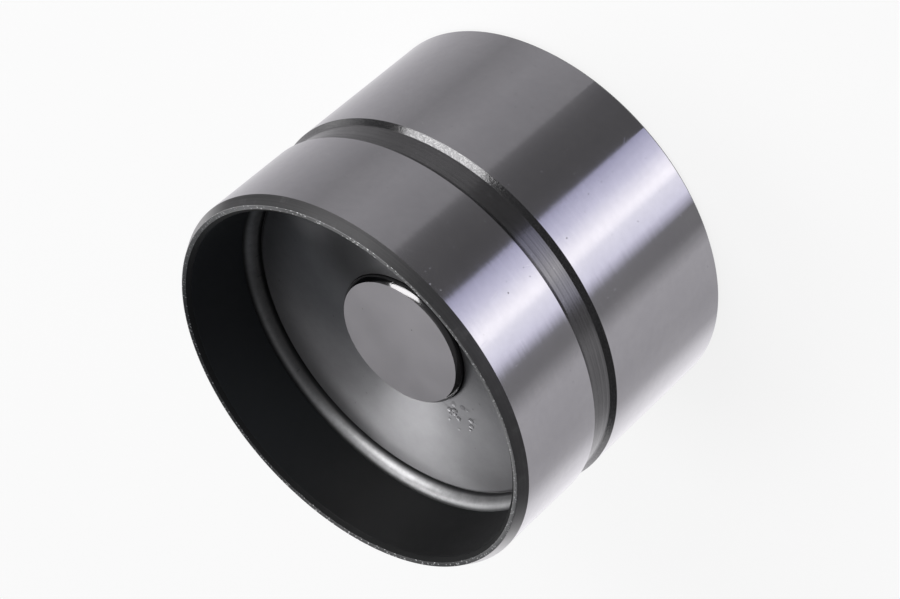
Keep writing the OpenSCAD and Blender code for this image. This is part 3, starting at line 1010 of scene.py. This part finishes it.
# Stage: a white floor, grey cards that the skirt mirrors, soft boxes and a surround

FLOOR_R = 4000
FLOOR_DROP = 0.02
FLOOR_GLOW = 0.86
CARD_Z = 0.01
CARD_ROWS = (0.02, 9, 18, 36, 70)
CARD_STEP = 2
AIM_Z = 20


def stage_material(name):
    """A bare material, and its node tree."""
    material = bpy.data.materials.new(name)
    material.use_nodes = True
    material.node_tree.nodes.clear()
    return material, material.node_tree


def seen_directly(tree):
    """1 for rays from the camera, and for what metal or glass shows."""
    light = node(tree, "LightPath")
    seen = maths(tree, "MAXIMUM", light.outputs["Is Camera Ray"], light.outputs["Is Glossy Ray"])
    return maths(tree, "MAXIMUM", seen, light.outputs["Is Transmission Ray"])


floor_white, tree = stage_material("white floor")
matt = node(tree, "BsdfDiffuse", {"Color": (0.9, 0.9, 0.9, 1)})
glow = node(tree, "Emission", {"Color": (1, 1, 1, 1), "Strength": 1.0})
glow_share = times(tree, seen_directly(tree), FLOOR_GLOW)
mixed = node(tree, "MixShader", {0: glow_share, 1: matt.outputs[0], 2: glow.outputs[0]})
tree.links.new(mixed.outputs[0], node(tree, "OutputMaterial").inputs["Surface"])

bm = bmesh.new()
bmesh.ops.create_circle(
    bm, cap_ends=True, segments=96, radius=FLOOR_R * MM, matrix=Matrix.Translation((0, 0, -FLOOR_DROP * MM)))
floor = as_object("floor", bm, [floor_white])


def mirrored_on_floor(angle, height):
    """Where the camera's line of sight lands on the floor after the skirt mirrors it.
    The angle goes round from the side that is nearest to the camera."""
    a = math.radians(angle)
    normal = Vector((-math.sin(a), -math.cos(a), 0))
    point = normal * BUCKET_R + Vector((0, 0, height))
    ray = (point - eye).normalized()
    ray = ray - 2 * ray.dot(normal) * normal
    return point - ray * (height / ray.z)


def lay_card(name, rows):
    """A card on the floor from rows of (x, y, colour). Only metal shows it."""
    material, tree = stage_material(name)
    tint = node(tree, "Attribute", attribute_name="tint").outputs["Color"]
    glow = node(tree, "Emission", {"Color": tint, "Strength": 1.0})
    tree.links.new(glow.outputs[0], node(tree, "OutputMaterial").inputs["Surface"])
    bm = bmesh.new()
    layer = bm.verts.layers.float_color.new("tint")
    grid = []
    for row in rows:
        grid.append([bm.verts.new((x * MM, y * MM, CARD_Z * MM)) for x, y, _ in row])
        for v, (_, _, colour) in zip(grid[-1], row):
            v[layer] = [*colour, 1]
    for one, two in zip(grid, grid[1:]):
        for k in range(len(one) - 1):
            bm.faces.new((one[k], one[k + 1], two[k + 1], two[k]))
    obj = as_object(name, bm, [material])
    obj.visible_camera = False
    obj.visible_diffuse = False
    obj.visible_shadow = False


def card(name, *stops):
    """A card where the skirt mirrors the floor. A stop is an angle and the colour there."""
    rows = []
    for (a0, c0), (a1, c1) in zip(stops, stops[1:]):
        steps = max(2, round((a1 - a0) / CARD_STEP))
        for i in range(steps + (a1 == stops[-1][0])):
            part = i / steps
            colour = [u + (w - u) * part for u, w in zip(c0, c1)]
            spots = [mirrored_on_floor(a0 + (a1 - a0) * part, h) for h in CARD_ROWS]
            rows.append([(p.x, p.y, colour) for p in spots])
    lay_card(name, rows)


def grey(level):
    """A grey with a touch of violet."""
    return (level, level * 0.985, level * 1.015)


card("grey card, left",
     (-90, grey(0.98)), (-80, grey(0.74)), (-62, grey(0.49)), (-44, grey(0.295)), (-32, grey(0.365)),
     (-17.6, grey(0.3)))
card("dark card, left",
     (-17.6, grey(0.19)), (-15, grey(0.145)), (-12, grey(0.122)), (-6, grey(0.107)), (-0.1, grey(0.11)))
card("strip of light",
     (-0.1, (0.52, 0.52, 0.71)), (6, (0.93, 0.92, 1.12)), (12, (1.62, 1.59, 1.66)),
     (13.3, (1.6, 1.57, 1.65)), (15, (1.22, 1.21, 1.34)), (19.7, (1.05, 1.04, 1.22)),
     (21, (0.78, 0.77, 0.92)), (23.5, (0.26, 0.257, 0.28)))
card("dark card, right", (23.5, grey(0.245)), (28, grey(0.235)), (29, grey(0.24)))
card("grey card, right",
     (29, grey(0.245)), (35, grey(0.53)), (50, grey(0.46)), (58, grey(0.5)), (66, grey(0.88)),
     (72, grey(1.0)), (78, grey(1.08)), (82, grey(1.03)))

# A card on the floor behind the bucket, with levels across it
BEHIND_HALF_W = 13
BEHIND_GAP = 0.4
BEHIND_REACHES = (0, 5, 90)
behind_y = math.sqrt(BUCKET_R ** 2 - BEHIND_HALF_W ** 2) + BEHIND_GAP
behind_levels = (
    (-BEHIND_HALF_W, 0.8), (-9, 0.42), (-5, 0.2), (-1, 0.24), (3, 0.62), (7, 0.36), (10, 0.3),
    (BEHIND_HALF_W, 0.75))
lay_card("dark card behind", [
    [(x, behind_y + reach, grey(level)) for x, level in behind_levels]
    for reach in BEHIND_REACHES
])


def soft_box(name, direction, distance, size, power):
    """A square soft box that faces the part."""
    data = bpy.data.lights.new(name, "AREA")
    data.shape = "SQUARE"
    data.size = size * MM
    data.energy = power
    obj = bpy.data.objects.new(name, data)
    scene.collection.objects.link(obj)
    way = Vector(direction).normalized()
    obj.location = (way * distance + Vector((0, 0, AIM_Z))) * MM
    obj.rotation_euler = (-way).to_track_quat("-Z", "Y").to_euler()
    obj.visible_camera = False


soft_box("soft box overhead", (0.37, 0.33, 0.87), distance=500, size=250, power=0.88)
soft_box("soft box at the front", (0.744, -0.458, 0.476), distance=450, size=360, power=1.35)

# The surround: dim, with white behind the part and grey overhead
ROOM_FRONT = (0.082, 0.082, 0.085, 1)
ROOM_BACK = (0.056, 0.061, 0.068, 1)
ROOM_CEILING = (0.36, 0.36, 0.367, 1)
BACKDROP = (1.0, 1.0, 1.01, 1)

world = bpy.data.worlds.new("studio")
scene.world = world
world.use_nodes = True
tree = world.node_tree
tree.nodes.clear()
direction = node(tree, "TexCoord").outputs["Generated"]
x, y, z = node(tree, "SeparateXYZ", {0: direction}).outputs
high_behind = times(tree, span(tree, y, 0.1, 0.75, smooth_ends=True),
                    span(tree, z, 0.62, 0.85, 1.0, 0.0, smooth_ends=True))
high_behind = times(tree, high_behind, span(tree, x, 0.03, 0.26, smooth_ends=True))
low_behind = times(tree, span(tree, y, 0.55, 0.85, smooth_ends=True),
                   span(tree, z, 0.3, 0.45, 1.0, 0.0, smooth_ends=True))
behind = maths(tree, "MAXIMUM", high_behind, low_behind)
surround = blend_colour(tree, span(tree, y, 0.0, 0.5), ROOM_FRONT, ROOM_BACK)
surround = blend_colour(tree, behind, surround, BACKDROP)
surround = blend_colour(tree, span(tree, z, 0.75, 0.95, smooth_ends=True), surround, ROOM_CEILING)
direct = node(tree, "LightPath").outputs["Is Camera Ray"]
colour = blend_colour(tree, direct, surround, (1, 1, 1, 1))
background = node(tree, "Background", {"Color": colour, "Strength": 1.0})
tree.links.new(background.outputs[0], node(tree, "OutputWorld").inputs["Surface"])

scene.view_settings.view_transform = "Standard"
